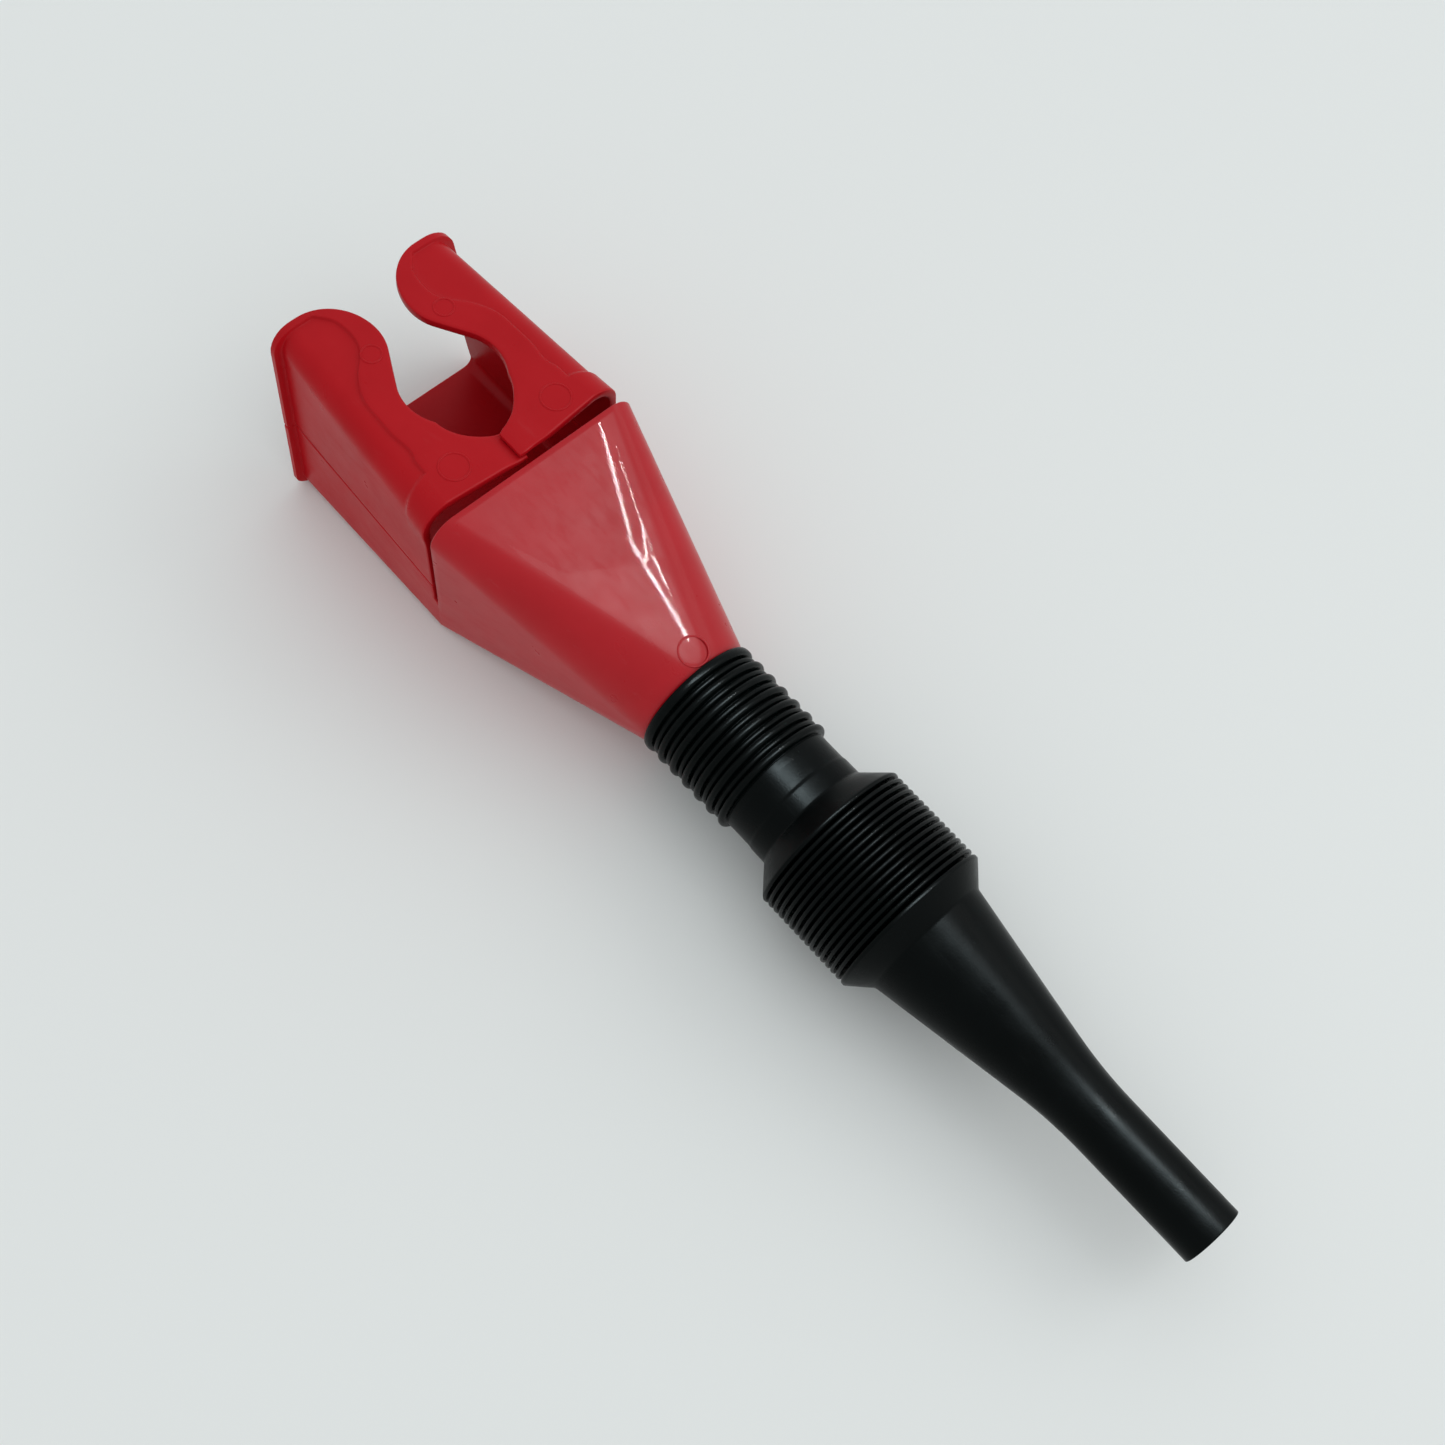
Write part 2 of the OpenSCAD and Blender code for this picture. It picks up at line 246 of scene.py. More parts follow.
def lathe(name, profile, material):
    """Turns a closed outline of (x, radius) points about the spout's axis."""
    n = len(profile)
    verts = [
        (x, r * math.cos(a), AXIS_Z + r * math.sin(a))
        for a in (2 * math.pi * k / ROUND for k in range(ROUND))
        for x, r in profile
    ]
    faces = [
        [k * n + j, k * n + (j + 1) % n, (k + 1) % ROUND * n + (j + 1) % n, (k + 1) % ROUND * n + j]
        for k in range(ROUND)
        for j in range(n)
    ]
    obj = finish_mesh(name, verts, faces, material)
    after = profile[1:] + profile[:1]
    if sum(x0 * r1 - x1 * r0 for (x0, r0), (x1, r1) in zip(profile, after)) > 0:
        obj.data.flip_normals()
    return obj


def ring_mark(name, centre, normal, radius, material, body):
    """The faint raised circle that an ejector pin leaves."""
    n = Vector(normal).normalized()
    a = n.orthogonal().normalized()
    b = n.cross(a)
    verts, faces = [], []
    major, minor = 72, 8
    half_width, height = 1.6 * 0.19, 0.8 * 0.19
    for i in range(major):
        t = 2 * math.pi * i / major
        out = a * math.cos(t) + b * math.sin(t)
        for j in range(minor):
            p = 2 * math.pi * j / minor
            v = Vector(centre) + out * (radius + half_width * math.cos(p)) + n * height * math.sin(p)
            verts.append(tuple(v))
            faces.append([
                i * minor + j,
                (i + 1) % major * minor + j,
                (i + 1) % major * minor + (j + 1) % minor,
                i * minor + (j + 1) % minor,
            ])
    obj = finish_mesh(name, verts, faces, material, 80)
    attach(obj, body)
    return obj


# ---------------------------------------------------------------- materials


RUB_DEPTH, COAT_RUB_DEPTH = 0.00002, 0.000004
COAT_ROUGHNESS = 0.016
PLASTIC_IOR = 1.49


def node_material(name):
    m = bpy.data.materials.new(name)
    m.use_nodes = True
    nt = m.node_tree
    nt.nodes.clear()
    out = nt.nodes.new("ShaderNodeOutputMaterial")
    shader = nt.nodes.new("ShaderNodeBsdfPrincipled")
    nt.links.new(shader.outputs["BSDF"], out.inputs["Surface"])
    return m, nt, shader


def plastic(
    name, dark, light, rough, rough_spread, grain, grain_depth, wave_depth, streak, level,
    coat=0.0, dusty=0.05,
):
    """Moulded plastic: colour drifts slowly, the skin is wavy and grained, and it has fine rub marks.

    grain is the fine noise's scale and streak the rub marks' scale along each axis. The depths are in metres,
    level is the specular level, and dusty is how much the rub marks pale the colour.
    """
    m, nt, shader = node_material(name)
    new, link = nt.nodes.new, nt.links.new
    shader.inputs["IOR"].default_value = PLASTIC_IOR
    shader.inputs["Coat Weight"].default_value = coat
    shader.inputs["Coat Roughness"].default_value = COAT_ROUGHNESS
    shader.inputs["Specular IOR Level"].default_value = level
    where = new("ShaderNodeTexCoord").outputs["Object"]

    def noise(scale, detail, source=where, roughness=0.55):
        n = new("ShaderNodeTexNoise")
        n.inputs["Scale"].default_value = scale
        n.inputs["Detail"].default_value = detail
        n.inputs["Roughness"].default_value = roughness
        link(source, n.inputs["Vector"])
        return n.outputs["Fac"]

    def ramp(source, a, b, lo, hi):
        r = new("ShaderNodeMapRange")
        r.inputs["From Min"].default_value, r.inputs["From Max"].default_value = a, b
        r.inputs["To Min"].default_value, r.inputs["To Max"].default_value = lo, hi
        link(source, r.inputs["Value"])
        return r.outputs["Result"]

    stretch = new("ShaderNodeMapping")
    stretch.inputs["Scale"].default_value = streak
    stretch.inputs["Rotation"].default_value = (0.0, 0.25, 0.18)
    link(where, stretch.inputs["Vector"])
    rubs = noise(1.0, 4.0, stretch.outputs["Vector"], 0.7)
    drift = noise(38.0, 3.0)
    fine = noise(grain, 2.0)
    soft = noise(120.0, 2.0)

    mix = new("ShaderNodeMix")
    mix.data_type = "RGBA"
    mix.inputs["A"].default_value, mix.inputs["B"].default_value = dark, light
    link(ramp(drift, 0.3, 0.7, 0.0, 1.0), mix.inputs["Factor"])
    dust = new("ShaderNodeMix")
    dust.data_type = "RGBA"
    dust.inputs["B"].default_value = tuple(lerp(c, 0.55, 0.35) for c in light[:3]) + (1,)
    link(ramp(rubs, 0.62, 0.86, 0.0, dusty), dust.inputs["Factor"])
    link(mix.outputs["Result"], dust.inputs["A"])
    link(dust.outputs["Result"], shader.inputs["Base Color"])

    both = new("ShaderNodeMath")
    both.operation = "ADD"
    link(ramp(soft, 0.3, 0.7, rough - rough_spread, rough + rough_spread), both.inputs[0])
    link(ramp(rubs, 0.5, 0.85, 0.0, 0.12), both.inputs[1])
    link(both.outputs[0], shader.inputs["Roughness"])

    def bump(height, strength, depth, under=None):
        b = new("ShaderNodeBump")
        b.inputs["Strength"].default_value, b.inputs["Distance"].default_value = strength, depth
        link(height, b.inputs["Height"])
        if under:
            link(under, b.inputs["Normal"])
        return b.outputs["Normal"]

    skin = bump(fine, 0.45, grain_depth, bump(soft, 0.5, wave_depth))
    link(bump(rubs, 0.3, RUB_DEPTH, skin), shader.inputs["Normal"])
    if coat:
        link(bump(rubs, 0.3, COAT_RUB_DEPTH), shader.inputs["Coat Normal"])
    return m


RED_GLOSS = plastic(
    "red_gloss", dark=(0.40, 0.004, 0.009, 1), light=(0.46, 0.006, 0.013, 1), rough=0.30, rough_spread=0.03,
    grain=1700, grain_depth=0.0000015, wave_depth=0.000012, streak=(60, 420, 420), level=0.21, coat=0.09,
    dusty=0.1,
)
RED_SATIN = plastic(
    "red_satin", dark=(0.40, 0.004, 0.008, 1), light=(0.45, 0.006, 0.011, 1), rough=0.31, rough_spread=0.04,
    grain=2600, grain_depth=0.00004, wave_depth=0.0001, streak=(80, 300, 300), level=0.11,
)
BLACK_RIB = plastic(
    "black_rib", dark=(0.0004, 0.0014, 0.0012, 1), light=(0.0010, 0.0022, 0.0021, 1), rough=0.28,
    rough_spread=0.05, grain=2400, grain_depth=0.00005, wave_depth=0.0001, streak=(40, 260, 260), level=0.065,
    dusty=0.02,
)
BLACK_SMOOTH = plastic(
    "black_smooth", dark=(0.0004, 0.0013, 0.0012, 1), light=(0.0009, 0.0020, 0.0020, 1), rough=0.30,
    rough_spread=0.05, grain=1900, grain_depth=0.00005, wave_depth=0.0001, streak=(30, 360, 360), level=0.06,
    dusty=0.02,
)

# ---------------------------------------------------------------- red head


def stations(points, step):
    """Sorted x values through the given ones, no further apart than step."""
    pts = sorted(points)
    out = [pts[0]]
    for p in pts[1:]:
        if p - out[-1] < 1e-6:
            continue
        n = max(1, math.ceil((p - out[-1]) / step))
        start = out[-1]
        out += [start + (p - start) * k / n for k in range(1, n + 1)]
    return out


RIM_STEPS = [EDGE + d for d in (0, 0.06, 0.24, 0.55, 0.95, 1.4, 1.8, 1.95, 2.1, 2.25, 2.4, 2.9, 3.8, 4.8)]


def lean_at(x):
    """How far the side walls lean in from foot to top at station x."""
    return lerp(LEAN_FAR, -SPREAD_ROOT, min(1.0, max(0.0, (x - FAR_X) / (MOUTH_X - FAR_X))))


def wall_y(x, z):
    """Where the outer face of the leaning side wall is at station x and height z."""
    return HALF_W - lean_at(x) * (CLIP_H - TOP_R) / CLIP_H * (z - BASE_R) / (CLIP_H - TOP_R - BASE_R)


def rake(x, z):
    """The open end slants: a station x, named at the top, moves in towards the foot."""
    return x + END_RAKE * max(0.0, 1 - z / CLIP_H) * max(0.0, (FAR_X + RAKE_SPAN - x) / RAKE_SPAN)


def rim(x):
    """1 on the rim of the open end, and 0 past it."""
    return 1 - smooth(RIM_W - 0.35, RIM_W + 0.2, x - FAR_X)


def squeeze(x, last, gap):
    """Moves the stations beside the hopper so that the row that ends at last stops a gap short of it."""
    if x <= SQUEEZE_FROM:
        return x
    return SQUEEZE_FROM + (x - SQUEEZE_FROM) * (MOUTH_X - gap - SQUEEZE_FROM) / (last - SQUEEZE_FROM)


FOOT_POINTS, FOOT_CORNER_POINTS = 10, 8
WALL_ROWS = [6, 8, 10.5, 13, 15, SLOT_FOOT, SLOT_FOOT + 0.8, 19.4, 21.6, CREASE_Z - HINGE_HALF]


def base_section(x, grow, inset):
    """Half of the clip's lower outline, from the middle of the back wall up to the hinge strip."""
    r = BASE_R - inset * 0.5
    w = HALF_W - inset
    pts = [((w - r) * k / FOOT_POINTS, inset) for k in range(FOOT_POINTS)]
    for k in range(FOOT_CORNER_POINTS + 1):
        a = math.pi / 2 * k / FOOT_CORNER_POINTS
        pts.append((w - r + (r + grow * math.sin(a)) * math.sin(a), inset + r - r * math.cos(a)))
    pts += [(wall_y(x, z) - inset + grow, z) for z in WALL_ROWS]
    return pts


def full_loop(half):
    """Mirrors a half outline into an outline that runs from the -Y end through the middle to the +Y end."""
    return [(-y, z) for y, z in reversed(half[1:])] + half


def below_slot(z):
    return z <= SLOT_FOOT + 0.01


def slot_gap(z):
    """The slit between clip and hopper runs on down the side walls as a wedge."""
    if below_slot(z):
        return 0.0
    return EDGE + lerp(1.3, 1.5, (z - SLOT_FOOT) / (CREASE_Z - SLOT_FOOT))


def build_base():
    xs = stations([FAR_X + d for d in RIM_STEPS] + [MOUTH_X - 1.2, MOUTH_X], 3.0)

    def grid(grow, inset):
        return [
            [
                (rake(squeeze(x, MOUTH_X, slot_gap(z)), z), y, z)
                for y, z in full_loop(base_section(x, grow * rim(x), inset))
            ]
            for x in xs
        ]

    outer, inner = grid(RIM_OUT, 0), grid(0, WALL)
    nv = len(outer[0])
    last = len(xs) - 1

    def seam(a, b):
        if a[0] == b[0] == last:
            return below_slot(max(outer[last][a[1]][2], outer[last][b[1]][2]))
        return a[1] == b[1] and a[1] in (0, nv - 1)

    obj = thick_patch("clip_base_shell", outer, inner, RED_SATIN, seam)
    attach(obj, "head")
    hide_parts("clip_base")


MOUTH_TOP = HALF_W + SPREAD_ROOT * (CLIP_H - MOUTH_R) / CLIP_H - MOUTH_R
MOUTH_TURN = math.degrees(math.atan2(HALF_W - MOUTH_R - MOUTH_TOP, CLIP_H - MOUTH_R - BASE_R))
ARC_STEPS, SIDE_STEPS = 16, 12


def hopper_loop(t, inset):
    """Outline of the hopper at t from its mouth (0) to its outlet (1)."""
    r_out = OUTLET_R - inset
    corners = [
        (HALF_W - BASE_R, BASE_R, BASE_R, -90, MOUTH_TURN),
        (MOUTH_TOP, CLIP_H - MOUTH_R, MOUTH_R, MOUTH_TURN, 90),
        (-MOUTH_TOP, CLIP_H - MOUTH_R, MOUTH_R, 90, 180 - MOUTH_TURN),
        (-HALF_W + BASE_R, BASE_R, BASE_R, 180 - MOUTH_TURN, 270),
    ]
    arcs = []
    for cy, cz, r, start, end in corners:
        rr = lerp(max(r - inset, 0.5), r_out, t)
        arcs.append([
            (cy * (1 - t) + rr * math.cos(a), lerp(cz, AXIS_Z, t) + rr * math.sin(a))
            for a in (math.radians(lerp(start, end, k / ARC_STEPS)) for k in range(ARC_STEPS + 1))
        ])
    pts = []
    for c in range(4):
        p, q = arcs[c][-1], arcs[(c + 1) % 4][0]
        pts += arcs[c]
        shares = [k / SIDE_STEPS for k in range(1, SIDE_STEPS)]
        pts += [(lerp(p[0], q[0], u), lerp(p[1], q[1], u)) for u in shares]
    return pts


def build_hopper():
    xs = stations([MOUTH_X, MOUTH_X + 1.5, OUTLET_X - 1.5, OUTLET_X], 2.5)
    span = OUTLET_X - MOUTH_X
    outer, inner = [], []
    for x in xs:
        t = (x - MOUTH_X) / span
        lip = 1 - smooth(OUTLET_X - 1.2, OUTLET_X, x) * 0.02

        def station(z):
            return x + (EDGE if z > SLOT_FOOT else 0.0) * (1 - t)

        outer.append([(station(z), y * lip, AXIS_Z + (z - AXIS_Z) * lip) for y, z in hopper_loop(t, 0)])
        inner.append([(station(z), y, z) for y, z in hopper_loop(t, WALL)])
    last = len(xs) - 1

    def seam(a, b):
        low_front = a[0] == b[0] == 0 and outer[0][a[1]][2] < SLOT_FOOT and outer[0][b[1]][2] < SLOT_FOOT
        return low_front or a[0] == b[0] == last

    obj = thick_patch("hopper_shell", outer, inner, RED_GLOSS, seam, closed=True)
    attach(obj, "head")
    r, start, end = SPIGOT_R, OUTLET_X - SPIGOT_ROOT, OUTLET_X + SPIGOT_L
    spigot = lathe("spigot", rounded([
        (start, r - 2.0), (start, r), (OUTLET_X + 1, r), (OUTLET_X + 1.4, r + 0.3), (OUTLET_X + 1.8, r),
        (end, r), (end, r - SPIGOT_WALL), (start, r - SPIGOT_WALL),
    ], [0, 0, 0.2, 0.3, 0.2, 0.5, 0.5, 0]), RED_SATIN)
    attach(spigot, "head")
    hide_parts("hopper")


# The tail of the cut-out leaves the round grip at this angle and closes towards the hopper
TAIL_FROM = math.radians(56)
OPEN_R = GRIP_R + EDGE
TAIL_START = GRIP_X + OPEN_R * math.cos(TAIL_FROM)
TAIL_L = 13.1 + EDGE
TAIL_END = TAIL_START + TAIL_L
TAIL_BOW = {1: 1.4, -1: 1.72}
TONGUE_RAMP = 0.9


def horn_touch(side):
    """Where the straight edge between a horn and the round grip starts and ends."""
    run = GRIP_X - THROAT_X
    a = math.atan2(-HORN_Y[side], run) - math.acos((GRIP_R + HORN_R) / math.hypot(run, HORN_Y[side]))
    r = HORN_R - EDGE
    start = (THROAT_X + r * math.cos(a), HORN_Y[side] + r * math.sin(a))
    return start, (GRIP_X - OPEN_R * math.cos(a), -OPEN_R * math.sin(a))


def inner_edge(x, side):
    """How far from the middle a jaw's plate starts at x."""
    start, end = horn_touch(side)
    reach = -LAP if side > 0 else 0.3
    if x < THROAT_X:
        u = min(1.0, (THROAT_X - x) / (THROAT_X - FAR_X - EDGE))
        return HORN_Y[side] - (HORN_R - EDGE) * math.sqrt(1 - u * u)
    if x < start[0]:
        return HORN_Y[side] - math.sqrt((HORN_R - EDGE) ** 2 - (x - THROAT_X) ** 2)
    if x < end[0]:
        return lerp(start[1], end[1], (x - start[0]) / (end[0] - start[0]))
    if x < TAIL_START:
        return math.sqrt(max(0.0, OPEN_R ** 2 - (x - GRIP_X) ** 2))
    bow = TAIL_BOW[side]
    u = min(1.0, (x - TAIL_START) / TAIL_L)
    tail = OPEN_R * math.sin(TAIL_FROM) * (1 - u ** bow) ** (1 / bow)
    if side > 0 and x > TAIL_END:
        return lerp(0.0, reach, min(1.0, (x - TAIL_END) / TONGUE_RAMP))
    return max(max(reach, 0.0), tail)


BAND_POINTS = [
    (0.0, 19.6), (3.0, 17.0), (7.0, 13.9), (12.0, 12.9), (16.5, 13.2), (20.0, 14.8), (25.0, 19.4),
    (30.0, 22.4), (36.0, 24.0), (42.0, 24.4), (48.0, 24.0), (52.0, 23.6), (55.0, 24.2), (58.5, 26.8),
    (61.0, 29.5), (80.0, 31.0),
]
ROOT_STEP = FAR_X + 60.0


def band_edge(x):
    """Outer edge of the raised band, as a smooth curve through a few points along the clip."""
    d = x - FAR_X
    xs, ys = [p[0] for p in BAND_POINTS], [p[1] for p in BAND_POINTS]
    k = max(0, min(len(xs) - 2, int(np.searchsorted(xs, d) - 1)))

    def slope(q):
        if q == 0 or q == len(xs) - 1:
            return 0.0
        return (ys[q + 1] - ys[q - 1]) / (xs[q + 1] - xs[q - 1])

    h = xs[k + 1] - xs[k]
    t = min(1.0, max(0.0, (d - xs[k]) / h))
    return (
        (2 * t ** 3 - 3 * t ** 2 + 1) * ys[k] + (t ** 3 - 2 * t ** 2 + t) * h * slope(k)
        + (-2 * t ** 3 + 3 * t ** 2) * ys[k + 1] + (t ** 3 - t ** 2) * h * slope(k + 1)
    )


SIDE_ROWS, CORNER_ROWS, PLATE_ROWS, STEP_ROWS = 12, 8, 12, 5
STEP_HALF = 0.45  # half the width of the band's sloping edge


def jaw_section(x, side):
    """Outer and inner points of a jaw, drawn on the +Y side, from the hinge strip to the opening."""
    middle_gap, corner_gap, crease_gap = SLIT[side]
    t = (x - FAR_X) / (MOUTH_X - FAR_X)
    r = lerp(TOP_R, MOUTH_R, t)
    cy, cz = HALF_W - lean_at(x) * (CLIP_H - r) / CLIP_H - r - t, CLIP_H - r
    foot_z = CREASE_Z + HINGE_HALF
    foot_y = wall_y(x, foot_z)
    a0, b0 = foot_y - cy, cz - foot_z
    phi = math.acos(r / math.hypot(a0, b0)) - math.atan2(b0, a0)
    tangent = (cy + r * math.cos(phi), cz + r * math.sin(phi))
    ry = rim(x)
    outer, inner = [], []

    def add(y, z, ny, nz, relief, gap):
        x_row = squeeze(x, JAW_END, gap + EDGE)
        outer.append((rake(x_row, z), y + ny * relief, z + nz * relief))
        inner.append((rake(x_row, z), y - ny * WALL, z - nz * WALL))

    for k in range(SIDE_ROWS):
        s = k / SIDE_ROWS
        root = smooth(ROOT_STEP + 2.5, ROOT_STEP + 6, x) * smooth(0.72, 1.0, s)
        relief = max(RIM_OUT * ry, BAND_SIDE_H * BAND_H * root)
        y, z = lerp(foot_y, tangent[0], s), lerp(foot_z, tangent[1], s)
        add(y, z, math.cos(phi), math.sin(phi), relief, lerp(crease_gap, corner_gap, s))
    for k in range(CORNER_ROWS + 1):
        s = k / CORNER_ROWS
        a = lerp(phi, math.pi / 2, s)
        late = 2.5 * (1 - s)
        root = smooth(ROOT_STEP + late, ROOT_STEP + late + lerp(3.5, 1.2, s), x) * lerp(BAND_SIDE_H, 1.0, s)
        relief = max(lerp(RIM_OUT, BAND_H, smooth(0, 1, s)) * ry, root * BAND_H)
        add(cy + r * math.cos(a), cz + r * math.sin(a), math.cos(a), math.sin(a), relief, corner_gap)
    root = smooth(ROOT_STEP, ROOT_STEP + 1.2, x)
    edge = inner_edge(x, side)
    band = max(min(band_edge(x), cy - 0.8), edge + 1.5)
    ys = [lerp(cy, band + STEP_HALF, k / STEP_ROWS) for k in range(1, STEP_ROWS + 1)]
    ys += [band + 0.22, band, band - 0.22, band - 0.5]
    ys += [lerp(band - 0.5, edge, k / PLATE_ROWS) for k in range(1, PLATE_ROWS + 1)]
    near = smooth(GRIP_X + 9, GRIP_X + 17, x)
    for y in ys:
        on = 1 - smooth(band - 0.4, band + 0.4, y)
        relief = BAND_H * max(on, ry, root)
        x_row = squeeze(x, JAW_END, EDGE + lerp(middle_gap, corner_gap, min(1.0, max(0.0, y / cy))))
        if side > 0:
            lift = near * smooth(9.5, 2.2, y) if y < 9.5 else 0.0
            outer.append((x_row, y, CLIP_H + relief + lift))
            inner.append((x_row, y, min(CLIP_H - WALL + 2.27 * lift, CLIP_H + 0.27)))
        else:
            dip = near * (1 - smooth(1.8, 7.5, y))
            outer.append((x_row, y, CLIP_H + relief * (1 - dip)))
            inner.append((x_row, y, CLIP_H - WALL))
    return outer, inner


def jaw_stations(side):
    start, end = horn_touch(side)
    tip = [TAIL_END - d for d in (3.0, 2.2, 1.5, 1.0, 0.6, 0.3, 0.12, 0.03, 0.0)]
    return stations(
        [FAR_X + d for d in RIM_STEPS] + [start[0], end[0], GRIP_X, TAIL_START] + tip
        + [TAIL_END + TONGUE_RAMP * k / 3 for k in (1, 2, 3)]
        + [ROOT_STEP + d for d in (0, 0.4, 0.8, 1.2)] + [JAW_END - 1.0, JAW_END],
        0.9,
    )


def build_jaw(side):
    """side is +1 for the right jaw, whose tongue laps over, and -1 for the left one."""
    name = "right_jaw" if side > 0 else "left_jaw"
    xs = jaw_stations(side)
    outer, inner = [], []
    for x in xs:
        o, n = jaw_section(x, side)
        outer.append([(a, side * b, c) for a, b, c in o][::-side])
        inner.append([(a, side * b, c) for a, b, c in n][::-side])
    nv = len(outer[0])
    hinge_row = nv - 1 if side > 0 else 0
    obj = thick_patch(name + "_shell", outer, inner, RED_SATIN, lambda a, b: a[1] == b[1] == hinge_row)
    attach(obj, name)
    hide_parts(name)
    build_hinge(side, name, xs, [row[hinge_row] for row in outer], [row[hinge_row] for row in inner])


HINGE_ROWS = [-HINGE_HALF, -1.0, -0.5, -0.28, -0.12, 0, 0.12, 0.28, 0.5, 1.0, HINGE_HALF]
CREASE_OUT, CREASE_OUT_W = 0.5, 0.26  # depth and width of the crease outside, and inside
CREASE_IN, CREASE_IN_W = 0.6, 0.6


def build_hinge(side, name, xs, top_outer, top_inner):
    """The living hinge between the fixed wall and a jaw: a strip with a thin crease on both faces."""
    so, si = [], []
    for x, top_o, top_i in zip(xs, top_outer, top_inner):
        grow = RIM_OUT * rim(x)
        row_o, row_i = [], []
        for z in HINGE_ROWS:
            zz = CREASE_Z + z
            t = max(0.0, z / HINGE_HALF)
            x_row = rake(squeeze(x, JAW_END, SLIT[side][2] + EDGE), zz)
            y = wall_y(x, zz) + grow
            yi = wall_y(x, zz) - WALL
            y, yi = lerp(y, abs(top_o[1]), t ** 3), lerp(yi, abs(top_i[1]), t ** 3)
            row_o.append((x_row, side * (y - CREASE_OUT * math.exp(-((z / CREASE_OUT_W) ** 2))), zz))
            row_i.append((x_row, side * (yi + CREASE_IN * math.exp(-((z / CREASE_IN_W) ** 2))), zz))
        row_o[-1], row_i[-1] = top_o, top_i
        so.append(row_o[::-side])
        si.append(row_i[::-side])
    strip = thick_patch(name + "_hinge", so, si, RED_SATIN, lambda a, b: a[1] == b[1])
    y = side * (HALF_W - WALL / 2) * MM
    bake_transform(strip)


LARGE_MARK_R = 4.3
build_base()
build_hopper()
for jaw_side in (-1, 1):
    build_jaw(jaw_side)
    jaw_body = "right_jaw" if jaw_side > 0 else "left_jaw"
    for place, along, across, mark_r in (("root", 64.0, 17.7, LARGE_MARK_R), ("tip", 22.3, 12.6, 2.9)):
        centre = (FAR_X + along, jaw_side * across, CLIP_H + BAND_H)
        ring_mark(f"{jaw_body}_{place}_mark", centre, (0, 0, 1), mark_r, RED_SATIN, jaw_body)
slope = (AXIS_Z + OUTLET_R - CLIP_H) / (OUTLET_X - MOUTH_X)
mark_x = OUTLET_X - 4.4
mark_centre = (mark_x, 1.2, CLIP_H + slope * (mark_x - MOUTH_X))
ring_mark("hopper_mark", mark_centre, (-slope, 0, 1), LARGE_MARK_R, RED_GLOSS, "head")

# ---------------------------------------------------------------- black spout


def crest(x, r, half, side, steps=CREST_STEPS):
    """Half of a rounded ridge: side +1 falls from the crest, -1 climbs to it."""
    pts = []
    for k in range(steps + 1):
        a = math.pi / 2 * k / steps
        pts.append((x + side * half * math.sin(a) ** 0.9, r - half * 0.95 * (1 - math.cos(a))))
    return pts if side > 0 else pts[::-1]


def neck_groove(x0, x1):
    """Outer line between two ridges: a narrow groove, a lower ridge and a second groove."""
    r, deep, low_r = NECK_R, NECK_R - GROOVE_DEPTH, NECK_R - LOW_RIDGE_DROP
    a, b, mid_x = x0 + RIDGE_HALF, x1 - RIDGE_HALF, (x0 + x1) / 2
    return (
        crest(x0, r, RIDGE_HALF, 1)
        + rounded([
            (a + 0.02, r - 1.15), (a + 0.14, deep), (a + 0.36, deep), (a + 0.45, r - 1.3),
            (mid_x - 0.4, low_r), (mid_x + 0.4, low_r),
            (b - 0.45, r - 1.3), (b - 0.36, deep), (b - 0.14, deep), (b - 0.02, r - 1.15),
        ], [0, 0.12, 0.12, 0.3, 0.4, 0.4, 0.3, 0.12, 0.12, 0], 3)
        + crest(x1, r, RIDGE_HALF, -1)
    )


BLACK_PIECES = bpy.data.collections.new("black_pieces")


def finish_black(obj):
    BLACK_PIECES.objects.link(obj)


def build_collar():
    lip = LIP_X - PITCH
    r = NECK_R
    outline = rounded([
        (OUTLET_X + 0.1, CUFF_IN), (OUTLET_X + 0.1, r - 1.3), (OUTLET_X + 0.25, r - 0.35),
        (lip - 0.75, r), (lip, r),
    ], [0, 0.2, 0.4, 0.5, 0], 5)
    outline += neck_groove(lip, LIP_X)[1:]
    outline += [(LIP_X, CUFF_IN)]
    obj = lathe("spout_cuff", outline, BLACK_RIB)
    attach(obj, "head")
    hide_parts("spout_collar")
    finish_black(obj)


